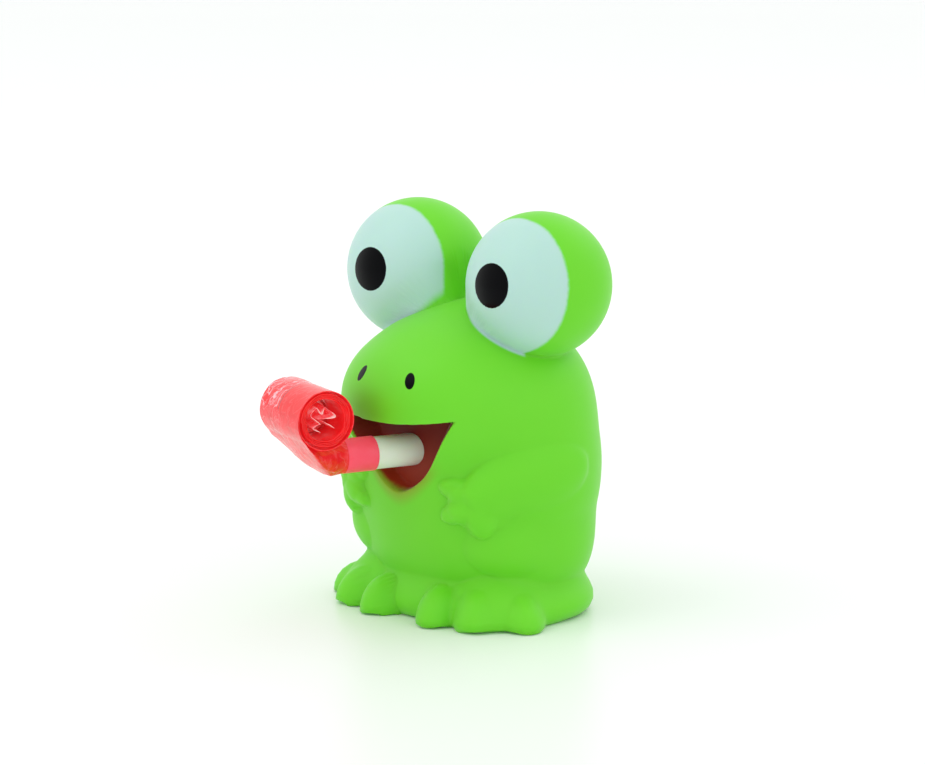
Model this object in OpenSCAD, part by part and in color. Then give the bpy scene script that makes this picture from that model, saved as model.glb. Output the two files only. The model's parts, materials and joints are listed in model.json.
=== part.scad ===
// Soft vinyl squeeze frog with a party blower in its mouth.
// The frog sits on z = 0 and faces -Y. Its own left is +X. All sizes in mm.

/* [Body] */
// Height of the frog from the table to the top of its eyes
body_height = 94.2; // [70:0.2:130]
// Width of the torso across the frog, from side to side
body_width = 64; // [48:1:90]
// Depth of the torso from belly to back
body_depth = 51; // [38:1:72]
// Thickness of the vinyl skin
skin_wall = 2.4; // [1.2:0.1:3.5]

/* [Eyes] */
// Radius of each eye ball
eye_radius = 16.8; // [12:0.2:20]
// Distance between the centres of the two eye balls
eye_spacing = 38.4; // [30:0.2:48]
// Diameter of the painted black pupil
pupil_size = 10.2; // [6:0.1:16]
// Angle from the middle of the white paint to its edge
white_spread = 62; // [45:1:75]

/* [Face] */
// Width of the open mouth from corner to corner
mouth_width = 35.6; // [24:0.2:42]
// Height of the open mouth at its middle
mouth_drop = 17; // [12:0.2:20]
// Height of one painted nostril
nostril_height = 3.5; // [2:0.1:5]

/* [Blower] */
// Outside diameter of the white blowing tube
tube_diameter = 7.5; // [5.5:0.1:10]
// Wall thickness of the blowing tube
tube_wall = 0.9; // [0.6:0.1:1.4]
// Angle by which the tube points to the frog's right
tube_yaw = 20; // [0:1:30]
// Length of bare white tube between mouth and film
white_length = 10; // [6:0.5:18]
// Length of tube that the red film is pulled over
neck_length = 7.6; // [5:0.2:14]
// Width of the red film when it lies flat
film_width = 21.7; // [14:0.1:28]
// Outside radius of the rolled up film
coil_radius = 6.85; // [5.6:0.05:9]
// Number of turns in the rolled up film
coil_turns = 4; // [2:1:6]
// How far the tongue travels when it is blown out
tongue_travel = 150; // [60:5:220]

/* [Base] */
// Diameter of the plug that closes the hole in the base
plug_diameter = 18; // [12:0.5:24]

/* [Hidden] */

// stretch of the sculpted form against its first size
kx = body_width / 64;
ky = body_depth / 51;
kz = body_height / 94.2;

// all rays that shape the skin start on an upright spine between these
spine_y = -3 * ky;
spine_low = 9 * kz;
spine_high = 62 * kz;

// eye balls
eye_x = eye_spacing / 2;
eye_z = body_height - eye_radius;
eye_rise = 9.5;
pupil_rise = 6.7;
coat = 0.3;
// the flat that cuts eye paint clear of the head
crease_yaw = atan2(0.071, 0.46);
crease_tilt = acos(0.885);
crease_drop = 11.3 * eye_radius / 16.8;

// mouth
mouth_half = mouth_width / 2;
mouth_top_z = 47.4 * kz;
lip_z = mouth_top_z - 0.6;
mouth_back_y = -22.2 * ky;

// blower
tube_z = 39.7 * kz;
tube_r = tube_diameter / 2;
tube_bore_r = tube_r - tube_wall;
film = 0.25;
neck_start = white_length;
neck_end = white_length + neck_length;
coil_x = neck_end + 1.75 + coil_radius;
coil_z = tube_r + 0.1 + coil_radius;
wrap_wall = 0.3;
roll_outer = coil_radius - wrap_wall - 0.2;
roll_inner = coil_radius * 0.68;

// base
plug_r = plug_diameter / 2;

// finer steps give a smoother skin
skin_columns = 80;
skin_rows = [10, 21, 22];
hollow_columns = 40;
hollow_rows = [5, 9, 15];
fine = 96;

// ---------- shape of the skin ----------

// larger of two lengths with a soft join of width k
function soft_max(p, q, k) =
    let (h = max(k - abs(p - q), 0) / k) max(p, q) + h * h * k / 4;

// smaller of two lengths with a soft join of width k
function soft_min(p, q, k) = -soft_max(-p, -q, k);

// v seen from a lump that is turned by yaw and then tipped by tip
function turned(v, yaw, tip) =
    let (
        x = v.x * cos(yaw) + v.y * sin(yaw),
        y = -v.x * sin(yaw) + v.y * cos(yaw)
    )
    [x, y * cos(tip) + v.z * sin(tip), -y * sin(tip) + v.z * cos(tip)];

function over(v, s) = [v.x / s.x, v.y / s.y, v.z / s.z];

// where a ray from h along d leaves a lump with centre c and radii s;
// past the lump's edge the length falls away at the rate fall
function leave(h, d, c, s, yaw = 0, tip = 0, fall = 2.2) =
    let (
        o = over(turned(h - c, yaw, tip), s),
        e = over(turned(d, yaw, tip), s),
        a = e * e,
        b = e * o,
        disc = b * b - a * (o * o - 1),
        root = sqrt(abs(disc))
    )
    (disc >= 0 ? -b + root : -b - fall * root) / a;

function spot(x, y, z) = [x * kx, y * ky, z * kz];

// the big lumps, each made smaller by cut
function trunk(h, d, cut = 0) =
    let (
        less = [cut, cut, cut],
        torso = leave(h, d, spot(0, -0.9, 35), spot(32.3, 26, 36.8) - less),
        head = leave(h, d, spot(0, -1.6, 50), spot(28.2, 26.2, 21) - less),
        snout = leave(h, d, spot(0, -12.5, 50), spot(24.2, 21.2, 18) - less),
        belly = leave(h, d, spot(0, 0.4, 17), spot(30.2, 22.4, 20) - less),
        skirt = leave(h, d, spot(0, -0.5, 4.5), spot(31.4, 24.3, 8.3) - less)
    )
    soft_max(soft_max(soft_max(soft_max(torso, head, 5), snout, 6), belly, 4),
        skirt, 2);

// a limb's lump added to the length r, on the same side as the ray
function lump(r, h, d, at, size, yaw, tip, soft) =
    let (
        side = d.x < 0 ? -1 : 1,
        c = spot(side * at.x, at.y, at.z),
        s = spot(size.x, size.y, size.z)
    )
    soft_max(r, leave(h, d, c, s, side * yaw, tip, 3), soft);

function with_feet(r, h, d) =
    let (
        thigh = lump(r, h, d, [17.6, -10.6, 19.5], [9.2, 9.4, 7.6], 0, 0, 4.5),
        sole = lump(thigh, h, d, [15, -9.5, 0], [12.5, 15.4, 13], 35, 0, 4),
        inner = lump(sole, h, d, [9, -20.8, 0.5], [4.9, 8, 9], 10, 0, 1.4),
        mid = lump(inner, h, d, [18.6, -18.2, 0.5], [5, 8.2, 9], 36, 0, 1.4)
    )
    lump(mid, h, d, [25.8, -12, 0.5], [5.2, 8.2, 8.5], 57, 0, 1.4);

function with_arms(r, h, d) =
    let (
        arm = lump(r, h, d, [21.6, -8.5, 37], [9.8, 16, 8.2], -22, 14, 3.5),
        palm = lump(arm, h, d, [20.2, -18, 29.6], [8, 8.3, 7.4], -45, 0, 5),
        top = lump(palm, h, d, [16.8, -22.6, 32], [3.2, 5.6, 2.6], -62, -12, 2.6),
        mid = lump(top, h, d, [16.8, -22.5, 27], [3.2, 5.3, 2.6], -62, 22, 2.6)
    )
    lump(mid, h, d, [21, -20.1, 24.6], [3.2, 3.1, 4.2], -45, 0, 2.6);

// length of a ray that stops on the flat at height z
function to_floor(h, d, z) = d.z < -0.02 ? (h.z - z) / -d.z : 1000;

function outer_length(h, d) =
    soft_min(with_arms(with_feet(trunk(h, d), h, d), h, d),
        to_floor(h, d, 0), 1.2);

function hollow_length(h, d) =
    soft_min(trunk(h, d, skin_wall), to_floor(h, d, skin_wall), 1);

// direction at a turn from the front and a height angle
function aim(turn, lift) =
    [cos(lift) * sin(turn), -cos(lift) * cos(turn), sin(lift)];

// turns stand closer together at the front, where the detail is
function turn_of(i, columns) =
    let (t = 360 * i / columns) t - 16 * sin(t);

// height on the spine and height angle of row j, counted from below:
// a fan at the bottom, level rays up the side, a fan at the top
function row_of(j, rows) =
    j < rows[0] ? [spine_low, -90 * pow(1 - j / rows[0], 1.5)]
    : j < rows[0] + rows[1]
    ? [spine_low + (spine_high - spine_low) * (j - rows[0]) / rows[1], 0]
    : [spine_high, 90 * (j - rows[0] - rows[1]) / rows[2]];

// closed skin: a bottom point, rings of points, a top point
module ray_skin(columns, rows, hollow) {
    total = rows[0] + rows[1] + rows[2];
    rings = [for (j = [1:total - 1]) for (i = [0:columns - 1])
        let (
            row = row_of(j, rows),
            d = aim(turn_of(i, columns), row[1]),
            h = [0, spine_y, row[0]]
        )
        h + d * (hollow ? hollow_length(h, d) : outer_length(h, d))];
    peak = [0, spine_y, spine_high];
    rise = hollow ? hollow_length(peak, [0, 0, 1])
        : outer_length(peak, [0, 0, 1]);
    bottom = [0, spine_y, hollow ? skin_wall : 0];
    points = concat(rings, [peak + [0, 0, rise], bottom]);
    last = (total - 2) * columns;
    n = len(rings);
    sides = [for (j = [0:total - 3]) for (i = [0:columns - 1])
        let (
            k = (i + 1) % columns,
            a = j * columns + i,
            b = j * columns + k,
            c = a + columns,
            e = b + columns
        )
        each [[a, e, b], [a, c, e]]];
    caps = [for (i = [0:columns - 1]) let (k = (i + 1) % columns)
        each [[n, last + i, last + k], [n + 1, k, i]]];
    polyhedron(points, concat(sides, caps), convexity = 8);
}

// ---------- mouth ----------

// outline of the mouth seen from the front, grown by more
module mouth_outline(more = 0) {
    half = mouth_half + more;
    drop = mouth_drop + 2 * more;
    top = mouth_top_z + more;
    upper = [for (s = [-12:12]) let (u = s / 12)
        [half * u, top + 1.5 * u * u]];
    lower = [for (s = [11:-1:-11]) let (u = s / 12)
        [half * u, top - drop + (drop + 1.5) * pow(abs(u), 1.72)]];
    polygon(concat(upper, lower));
}

// the mouth outline as a bar that runs from y = back towards the front
module mouth_bar(back, more = 0) {
    translate([0, back, 0])
        rotate([90, 0, 0])
            linear_extrude(height = 60)
                mouth_outline(more);
}

// local frame of the tube: x runs out of the mouth, y to the frog's left
module along_tube() {
    translate([0, mouth_back_y, tube_z])
        rotate([0, 0, -90 - tube_yaw])
            children();
}

module rod(r, from, to) {
    translate([from, 0, 0])
        rotate([0, 90, 0])
            cylinder(r = r, h = to - from, $fn = fine);
}

module nostril_peg(side, grow = 0) {
    translate([side * 7.6 * kx, -28.2 * ky, 57.6 * kz])
        rotate([0, 0, side * 20])
            rotate([72, 0, 0])
                scale([0.74, 1, 1])
                    translate([0, 0, -0.6])
                        cylinder(d = nostril_height, h = 3 + grow, $fn = fine);
}

// ---------- nodes ----------

// the moulded body is one hollow skin; it is modelled in five pieces that
// meet without a gap: trunk, snout, chin and two eye balls
module skin_piece(from_y, to_y, from_z, to_z) {
    difference() {
        intersection() {
            ray_skin(skin_columns, skin_rows, false);
            translate([-body_width, from_y, from_z])
                cube([2 * body_width, to_y - from_y, to_z - from_z]);
        }
        difference() {
            ray_skin(hollow_columns, hollow_rows, true);
            mouth_bar(mouth_back_y + skin_wall, skin_wall);
        }
    }
}

module trunk_shell() {
    color([0.42, 0.82, 0.18])
        difference() {
            skin_piece(mouth_back_y, body_depth, -1, body_height);
            for (side = [-1, 1])
                translate([side * eye_x, 0, eye_z])
                    sphere(r = eye_radius - skin_wall, $fn = fine);
            along_tube()
                rod(tube_r + 0.05, -8, 6);
            translate([0, 0, -1])
                cylinder(r = plug_r, h = skin_wall + 3, $fn = fine);
        }
}

module snout_shell() {
    color([0.42, 0.82, 0.18])
        difference() {
            skin_piece(-body_depth, mouth_back_y, lip_z, body_height);
            mouth_bar(mouth_back_y + 1);
            nostril_peg(-1);
            nostril_peg(1);
        }
}

module chin_shell() {
    color([0.42, 0.82, 0.18])
        difference() {
            skin_piece(-body_depth, mouth_back_y, -1, lip_z);
            mouth_bar(mouth_back_y + 1);
        }
}

module eye_ball(side) {
    color([0.42, 0.82, 0.18])
        difference() {
            translate([side * eye_x, 0, eye_z])
                difference() {
                    sphere(r = eye_radius, $fn = fine);
                    sphere(r = eye_radius - skin_wall, $fn = fine);
                }
            ray_skin(skin_columns, skin_rows, false);
        }
}

module base_plug() {
    color([0.93, 0.93, 0.9])
        union() {
            cylinder(r = plug_r - 0.05, h = skin_wall + 0.2, $fn = fine);
            translate([0, 0, skin_wall + 0.05])
                cylinder(r1 = plug_r + 1.2, r2 = plug_r - 0.4,
                    h = 1.2, $fn = fine);
        }
}

module blower_tube() {
    color([0.93, 0.94, 0.88])
        along_tube()
            difference() {
                union() {
                    rod(tube_r, -8, neck_end - 1.2);
                    rod(tube_r + 1.5, -6.4, -5.2);
                }
                rod(tube_bore_r, -10, neck_end + 2);
            }
}

module film_neck() {
    color([1, 0.3, 0.36])
        along_tube()
            difference() {
                rod(tube_r + film, neck_start, neck_end);
                rod(tube_r, neck_start - 1, neck_end + 1);
            }
}

// middle line of the flattening film, in the plane of x and z
lead_foot = [neck_end, 0];
lead_turn = [neck_end + 4.2, -0.9];
lead_tip = [coil_x + (coil_radius + 0.85) * sin(40),
    coil_z - (coil_radius + 0.85) * cos(40)];

function lead_line(u) =
    (1 - u) * (1 - u) * lead_foot + 2 * u * (1 - u) * lead_turn + u * u * lead_tip;

function lead_slope(u) =
    let (v = (1 - u) * (lead_turn - lead_foot) + u * (lead_tip - lead_turn))
    v / norm(v);

// one ring of the flattening film; cut takes the film off for its inside
function lead_ring(u, cut) =
    let (
        c = lead_line(u),
        t = lead_slope(u),
        w = (tube_r + film) * (1 - u) + film_width / 2 * sin(90 * u) - cut,
        h = (tube_r + film) * (1 - u) * (1 - u * 0.35) + 0.42 * u - cut
    )
    [for (i = [0:27])
        let (y = w * cos(i * 360 / 28), z = h * sin(i * 360 / 28))
        [c.x - t.y * z, y, c.y + t.x * z]];

module film_lead() {
    steps = 9;
    ring = 28;
    outside = [for (j = [0:steps]) each lead_ring(j / steps, 0)];
    inside = [for (j = [steps:-1:0]) each lead_ring(j / steps, film)];
    points = concat(outside, inside);
    loops = 2 * (steps + 1);
    faces = [for (j = [0:loops - 1]) for (i = [0:ring - 1])
        let (
            k = (i + 1) % ring,
            a = j * ring + i,
            b = j * ring + k,
            c = ((j + 1) % loops) * ring + i,
            e = ((j + 1) % loops) * ring + k
        )
        each [[a, b, e], [a, e, c]]];
    color([1, 0.2, 0.24])
        along_tube()
            polyhedron(points, faces, convexity = 4);
}

// places its children on the axis of the coil, with z along that axis
module on_coil() {
    along_tube()
        translate([coil_x, 0, coil_z])
            rotate([-90, 0, 0])
                children();
}

module film_wrap() {
    color([1, 0.16, 0.2])
        on_coil()
            difference() {
                cylinder(r = coil_radius, h = film_width, center = true,
                    $fn = fine);
                cylinder(r = coil_radius - wrap_wall, h = film_width + 2,
                    center = true, $fn = fine);
            }
}

// a flat spiral band of several turns as an outline
module spiral_band(r_out, r_in, turns, thick) {
    count = turns * 36;
    function mid(s) = r_out - thick / 2 - (r_out - r_in - thick) * s / count;
    edge = [for (s = [0:count]) let (g = 10 * s)
        (mid(s) + thick / 2) * [cos(g), sin(g)]];
    back = [for (s = [count:-1:0]) let (g = 10 * s)
        (mid(s) - thick / 2) * [cos(g), sin(g)]];
    polygon(concat(edge, back));
}

module film_coil() {
    pitch = (roll_outer - roll_inner) / coil_turns;
    color([0.95, 0.12, 0.16])
        on_coil()
            translate([0, 0, -film_width / 2 + 0.2])
                linear_extrude(height = film_width - 0.4)
                    spiral_band(roll_outer, roll_inner, coil_turns,
                        min(film, pitch * 0.7));
}

module curl_spring() {
    color([0.8, 0.8, 0.8])
        on_coil()
            translate([0, 0, -1.6])
                linear_extrude(height = 3.2)
                    spiral_band(roll_inner - 0.1, roll_inner - 1, 2, 0.2);
}

module film_end_fold() {
    reach = roll_inner - 1.3;
    zig = [for (s = [0:40])
        let (u = s / 20 - 1)
        [reach * 0.9 * u, reach * 0.3 * sin(430 * u)]];
    zag = [for (s = [40:-1:0]) zig[s] + [0, 0.34]];
    color([1, 0.55, 0.6])
        on_coil()
            translate([0, 0, -film_width / 2 + 1.5])
                linear_extrude(height = film_width - 3)
                    polygon(concat(zig, zag));
}

// half space on the far side of a flat that stands off the eye centre
module beyond(yaw, tilt, off) {
    rotate([0, 0, yaw])
        rotate([0, tilt, 0])
            translate([-50, -50, off])
                cube([100, 100, 60]);
}

module eye_white(side) {
    color([0.82, 0.93, 0.9])
        translate([side * eye_x, 0, eye_z])
            intersection() {
                difference() {
                    sphere(r = eye_radius + coat, $fn = fine);
                    sphere(r = eye_radius, $fn = fine);
                }
                beyond(-90, 90 - eye_rise, eye_radius * cos(white_spread));
                beyond(side > 0 ? crease_yaw : 180 - crease_yaw, crease_tilt,
                    -crease_drop);
            }
}

module pupil(side) {
    spread = asin(pupil_size / 2 / eye_radius);
    color([0.02, 0.02, 0.02])
        translate([side * eye_x, 0, eye_z])
            intersection() {
                difference() {
                    sphere(r = eye_radius + 2 * coat + 0.03, $fn = fine);
                    sphere(r = eye_radius + coat + 0.03, $fn = fine);
                }
                beyond(-90, 90 - pupil_rise, eye_radius * cos(spread));
            }
}

module nostril(side) {
    color([0.02, 0.02, 0.02])
        intersection() {
            nostril_peg(side);
            ray_skin(skin_columns, skin_rows, false);
        }
}

module mouth_paint() {
    color([0.38, 0.07, 0.04])
        difference() {
            translate([0, mouth_back_y, 0])
                rotate([90, 0, 0])
                    linear_extrude(height = coat)
                        mouth_outline(-0.05);
            along_tube()
                rod(tube_r + 0.3, -8, 6);
        }
}

trunk_shell();
snout_shell();
chin_shell();
eye_ball(1);  // eye_ball_left
eye_ball(-1);  // eye_ball_right
base_plug();
blower_tube();
film_neck();
film_lead();
film_wrap();
film_coil();
curl_spring();
film_end_fold();
eye_white(1);  // eye_white_left
eye_white(-1);  // eye_white_right
pupil(1);  // pupil_left
pupil(-1);  // pupil_right
nostril(1);  // nostril_left
nostril(-1);  // nostril_right
mouth_paint();
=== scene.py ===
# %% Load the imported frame
import bpy
import json
import math
import numpy as np
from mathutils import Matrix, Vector


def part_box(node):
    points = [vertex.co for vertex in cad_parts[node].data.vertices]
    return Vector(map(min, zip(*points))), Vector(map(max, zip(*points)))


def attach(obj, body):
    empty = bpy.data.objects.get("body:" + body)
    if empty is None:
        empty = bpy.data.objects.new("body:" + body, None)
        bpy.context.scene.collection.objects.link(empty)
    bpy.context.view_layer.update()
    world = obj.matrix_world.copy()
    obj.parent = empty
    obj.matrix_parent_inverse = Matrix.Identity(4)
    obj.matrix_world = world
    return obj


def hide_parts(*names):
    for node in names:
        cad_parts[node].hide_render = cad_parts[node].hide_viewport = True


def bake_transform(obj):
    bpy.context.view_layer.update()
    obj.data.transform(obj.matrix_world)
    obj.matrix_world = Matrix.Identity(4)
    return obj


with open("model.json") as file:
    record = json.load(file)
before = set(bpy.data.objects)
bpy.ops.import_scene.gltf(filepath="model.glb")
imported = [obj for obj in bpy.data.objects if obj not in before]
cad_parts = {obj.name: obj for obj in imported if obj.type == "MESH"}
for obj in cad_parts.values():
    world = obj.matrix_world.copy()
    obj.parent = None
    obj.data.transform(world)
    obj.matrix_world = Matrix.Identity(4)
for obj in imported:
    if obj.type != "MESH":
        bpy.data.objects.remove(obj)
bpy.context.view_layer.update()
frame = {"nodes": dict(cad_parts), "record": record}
print("nodes", sorted(frame["nodes"]))

# %% [markdown]
# The toy is one hollow casting of soft vinyl with a party blower pushed
# into its mouth. Its sizes could be typed in a second time here, but then
# a change of the solids would leave the visible surfaces behind. So the
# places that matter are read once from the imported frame: the eye balls, the
# mouth's back wall, the axis of the tube and the axis of the roll. All
# lengths below are in mm until a mesh is made.

# %% Read places and sizes from the frame
MM = 0.001
DESIGN_HEIGHT = 94.2  # heights of the lumps are given for a frog this tall
DESIGN_WALL = 22.2    # their depths, for a mouth wall this far forward


def box_mm(node):
    """Low and high corner of a node's box."""
    low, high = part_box(node)
    return np.array(low) / MM, np.array(high) / MM


joints = {j["name"]: j for j in frame["record"]["behaviour"]["joints"]}
mouth_point = np.array(joints["tube_twist"]["pos_m"]) / MM
roll_point = np.array(joints["coil_spin"]["pos_m"]) / MM
forward = np.array(joints["tongue_unroll"]["axis"], float)
sideways = np.array(joints["coil_spin"]["axis"], float)
upward = np.array([0.0, 0.0, 1.0])
ball_low, ball_high = box_mm("eye_ball_left")
body_height = ball_high[2]
tall = body_height / DESIGN_HEIGHT
deep = mouth_point[1] / -DESIGN_WALL
eye_radius = (ball_high[1] - ball_low[1]) / 2
eye_centre = np.array([ball_high[0] - eye_radius, 0.0,
                       body_height - eye_radius])
print("eye centre", eye_centre.round(2), "roll", roll_point.round(2))
print("forward", forward.round(3), "sideways", sideways.round(3))

# %% [markdown]
# The skin is the outside of the casting, from the eye balls to the toes. It
# could be sculpted, or joined from separate balls with a remesh, but then
# its sizes would be hard to set. Here it is a ray surface. Rays start on an
# upright spine inside the frog and run outwards: a fan at the bottom, level
# rays up the side, a fan at the top. Each ray leaves every lump at some
# length, and the skin takes the largest, joined softly. A soft join is how
# cast vinyl looks, because the wax of the first model was smoothed wherever
# two lumps met.

# %% Formulas of the ray surface


def soft_max(p, q, k):
    """Larger of p and q, with a rounded join of width k."""
    h = np.maximum(k - np.abs(p - q), 0.0) / k
    return np.maximum(p, q) + h * h * k / 4


def soft_min(p, q, k):
    """Smaller of p and q, with a rounded join of width k."""
    return -soft_max(-p, -q, k)


def smooth_step(x, low, high):
    """Rises from 0 at low to 1 at high, level at both ends."""
    t = np.clip((x - low) / (high - low), 0.0, 1.0)
    return t * t * (3 - 2 * t)


def turned(v, yaw, tip):
    """v seen from a lump turned by yaw and then tipped by tip, in degrees."""
    a, b = np.radians(yaw), np.radians(tip)
    x = v[..., 0] * np.cos(a) + v[..., 1] * np.sin(a)
    y = -v[..., 0] * np.sin(a) + v[..., 1] * np.cos(a)
    z = v[..., 2]
    return np.stack([x, y * np.cos(b) + z * np.sin(b),
                     -y * np.sin(b) + z * np.cos(b)], axis=-1)


def leave(start, ray, centre, radii, yaw=0.0, tip=0.0, fall=2.2):
    """Length at which a ray leaves an ellipsoid: the larger root of
    |o + t e| = 1 with o and e divided by the radii. Outside the edge the
    length falls away steadily, so that neighbours can be joined softly."""
    o = turned(start - centre, yaw, tip) / radii
    e = turned(ray, yaw, tip) / radii
    a = (e * e).sum(axis=-1)
    b = (e * o).sum(axis=-1)
    disc = b * b - a * ((o * o).sum(axis=-1) - 1)
    root = np.sqrt(np.abs(disc))
    return np.where(disc >= 0, -b + root, -b - fall * root) / a


def scaled(x, y, z):
    """A place, or the half sizes of a lump, scaled to this frog."""
    return np.array([x, y * deep, z * tall], float)


# %% [markdown]
# A casting like this has no hard parts, so a few ellipsoids describe it: a
# trunk in the middle, and limbs that stand out from it in low relief. Only
# the left limbs are listed. The right side mirrors them, as the mould does.

# %% Lumps of the body
TRUNK = [  # name, centre, half sizes, width of the soft join
    ("torso", (0, -0.9, 35), (32.3, 26, 36.8), 0.001),
    ("head", (0, -1.6, 50), (28.2, 26.2, 21), 5),
    ("snout", (0, -12.5, 50), (24.2, 21.2, 18), 6),
    ("belly", (0, 0.4, 17), (30.2, 22.4, 20), 4),
    ("skirt", (0, -0.5, 3.5), (30.6, 23.6, 9.5), 5),
]
LIMBS = [  # name, centre, half sizes, turn, tip, width of the soft join
    ("thigh", (17.4, -10.4, 19), (8.6, 9, 7.8), 0, 0, 6),
    ("sole", (15, -9.5, 0), (12.5, 15.2, 12.5), 35, 0, 6),
    ("inner_toe", (8.4, -20.8, 0.5), (5.4, 8, 8.4), 10, 0, 2),
    ("middle_toe", (17.4, -18.6, 0.5), (5.6, 8.2, 8.4), 34, 0, 2.2),
    ("outer_toe", (25.2, -12.4, 0.5), (5.2, 7.6, 7), 57, 0, 3),
    ("arm", (24.8, -10.8, 34.8), (5.6, 15, 8), -27, 12, 2.6),
    ("palm", (18.8, -19, 29.6), (4.2, 7.4, 6.6), -45, 0, 3.2),
    ("upper_finger", (16, -21.6, 32.2), (3.2, 5.8, 2.8), -62, -12, 3),
    ("middle_finger", (16, -21.8, 27.8), (3.2, 5.5, 2.8), -62, 22, 3),
    ("lower_finger", (19.6, -19.8, 25.6), (3.2, 3.4, 4.2), -45, 0, 3),
]
LIMB_FALL = 3.0  # how fast a limb's length falls outside its edge
EYE_JOIN = 0.9   # the crease between eye balls and head is sharp
print("lumps", len(TRUNK), "in the trunk,", len(LIMBS), "on each side")


def trunk_length(start, ray):
    """Softly joined length at which rays leave the lumps of the trunk."""
    length = None
    for _, centre, radii, soft in TRUNK:
        way = leave(start, ray, scaled(*centre), scaled(*radii))
        length = way if length is None else soft_max(length, way, soft)
    return length


def to_left(start, ray):
    """Rays of the right half, mirrored to the left half; the rest as is."""
    side = np.where(ray[..., :1] < 0, -1.0, 1.0)
    flip = np.concatenate([side, np.ones_like(side), np.ones_like(side)], -1)
    return start * flip, ray * flip


def limb_length(length, start, ray):
    """Adds the limbs of both sides to the length."""
    start, ray = to_left(start, ray)
    for _, centre, radii, yaw, tip, soft in LIMBS:
        way = leave(start, ray, scaled(*centre), scaled(*radii),
                    yaw, tip, LIMB_FALL)
        length = soft_max(length, way, soft)
    return length


def eye_length(length, start, ray):
    """Adds both eye balls, which are true spheres, to the length."""
    start, ray = to_left(start, ray)
    way = leave(start, ray, eye_centre, np.full(3, eye_radius))
    return soft_max(length, way, EYE_JOIN)


# %% [markdown]
# The mouth is an open pocket under the snout. It could be cut out with a
# boolean, but that would leave a ragged row of faces along the lip. Here
# the skin itself steps back to a flat wall inside the mouth's outline,
# which is nearly straight above and a soft V below. The blowing tube goes
# in through the wall.

# %% Mouth pocket
mouth_half, mouth_drop, mouth_top = 17.8, 17.0, 47.4 * tall
mouth_wall = mouth_point[1]
MOUTH_SMILE = 1.5     # rise of the upper lip from the middle to the corners
MOUTH_POWER = 1.72    # 1 would give a straight V below, 2 a parabola
FACE_BEGINS = -10     # only rays that end in front of this y see the mouth
LIP_STEP = (-0.25, 0.75)
print("mouth", 2 * mouth_half, "wide,", mouth_drop, "high, wall at",
      round(float(mouth_wall), 2))


def mouth_inside(x, z):
    """Distance inside the mouth's outline, negative outside: below a
    parabola, and above a power curve whose height is divided by its slope."""
    u = np.abs(x) / mouth_half
    upper = mouth_top + MOUTH_SMILE * u * u - z
    depth = mouth_drop + MOUTH_SMILE
    lower = z - (mouth_top - mouth_drop + depth * u ** MOUTH_POWER)
    slope = depth * MOUTH_POWER * u ** (MOUTH_POWER - 1) / mouth_half
    return np.minimum(upper, lower / np.sqrt(1 + slope * slope))


def mouth_length(length, start, ray):
    """Steps the length back to the mouth's wall inside the outline."""
    point = start + ray * length[..., None]
    inside = mouth_inside(point[..., 0], point[..., 2])
    wall = (mouth_wall - start[..., 1]) / np.minimum(ray[..., 1], -1e-3)
    share = smooth_step(inside, *LIP_STEP) * (point[..., 1] < FACE_BEGINS)
    return np.where(wall < length, length + (wall - length) * share, length)


# %% [markdown]
# The grid of rays decides where the mesh is fine. Rows lie closer together
# over the face, and columns closer together in front, so that the lip and
# the fingers get small faces while the plain back gets large ones.

# %% Rays, rows and columns
SPINE_Y, SPINE_LOW, SPINE_HIGH = -3.0 * deep, 9.0 * tall, 62.0 * tall
FACE_LOW, FACE_HIGH = 28 * tall, 52 * tall
COLUMNS = 300


def rows_of_rays():
    """Height on the spine and height angle for each row, from below."""
    low_fan = -90 * (1 - np.arange(1, 26) / 26.0) ** 1.4
    top_fan = np.linspace(0, 90, 86)[:-1]
    level = np.concatenate([
        np.linspace(SPINE_LOW, FACE_LOW, 44, endpoint=False),
        np.linspace(FACE_LOW, FACE_HIGH, 84, endpoint=False),
        np.linspace(FACE_HIGH, SPINE_HIGH, 22, endpoint=False)])
    height = np.concatenate([np.full(len(low_fan), SPINE_LOW), level,
                             np.full(len(top_fan), SPINE_HIGH)])
    lift = np.concatenate([low_fan, np.zeros(len(level)), top_fan])
    return height, np.radians(lift)


def turns_of_rays():
    """Turns from the front: t less two sines of it, which draws the
    columns together where the face is."""
    t = np.linspace(0, 2 * np.pi, COLUMNS, endpoint=False)
    return t - 0.62 * np.sin(t) - 0.06 * np.sin(2 * t)


def skin_rays():
    """Start and direction of every ray, rows by columns."""
    height, lift = rows_of_rays()
    lift_g, turn_g = np.meshgrid(lift, turns_of_rays(), indexing="ij")
    height_g = np.broadcast_to(height[:, None], lift_g.shape)
    ray = np.stack([np.cos(lift_g) * np.sin(turn_g),
                    -np.cos(lift_g) * np.cos(turn_g),
                    np.sin(lift_g)], axis=-1)
    start = np.stack([np.zeros_like(height_g),
                      np.full_like(height_g, SPINE_Y), height_g], axis=-1)
    return start, ray


# %% Points of the skin
FLOOR_JOIN = 1.2    # rounding of the foot's lower edge
LEVEL_RAY = 0.02    # rays less steep than this never reach the floor
OUT_OF_REACH = 1000.0

start, ray = skin_rays()
length = trunk_length(start, ray)
length = limb_length(length, start, ray)
length = eye_length(length, start, ray)
length = mouth_length(length, start, ray)
to_floor = np.where(ray[..., 2] < -LEVEL_RAY,
                    start[..., 2] / np.maximum(-ray[..., 2], LEVEL_RAY),
                    OUT_OF_REACH)
length = soft_min(length, to_floor, FLOOR_JOIN)
skin_points = start + ray * length[..., None]
skin_points[..., 2] = np.maximum(skin_points[..., 2], 0.0)
print("skin rows and columns", skin_points.shape[:2])

# %% [markdown]
# A grid of points becomes a mesh with one helper, which hands whole arrays
# to Blender. A loop over the points would do the same a hundred times more
# slowly. The grid closes around its columns, and a single point closes the
# skin at the bottom and another at the top.

# %% Mesh helper


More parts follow.
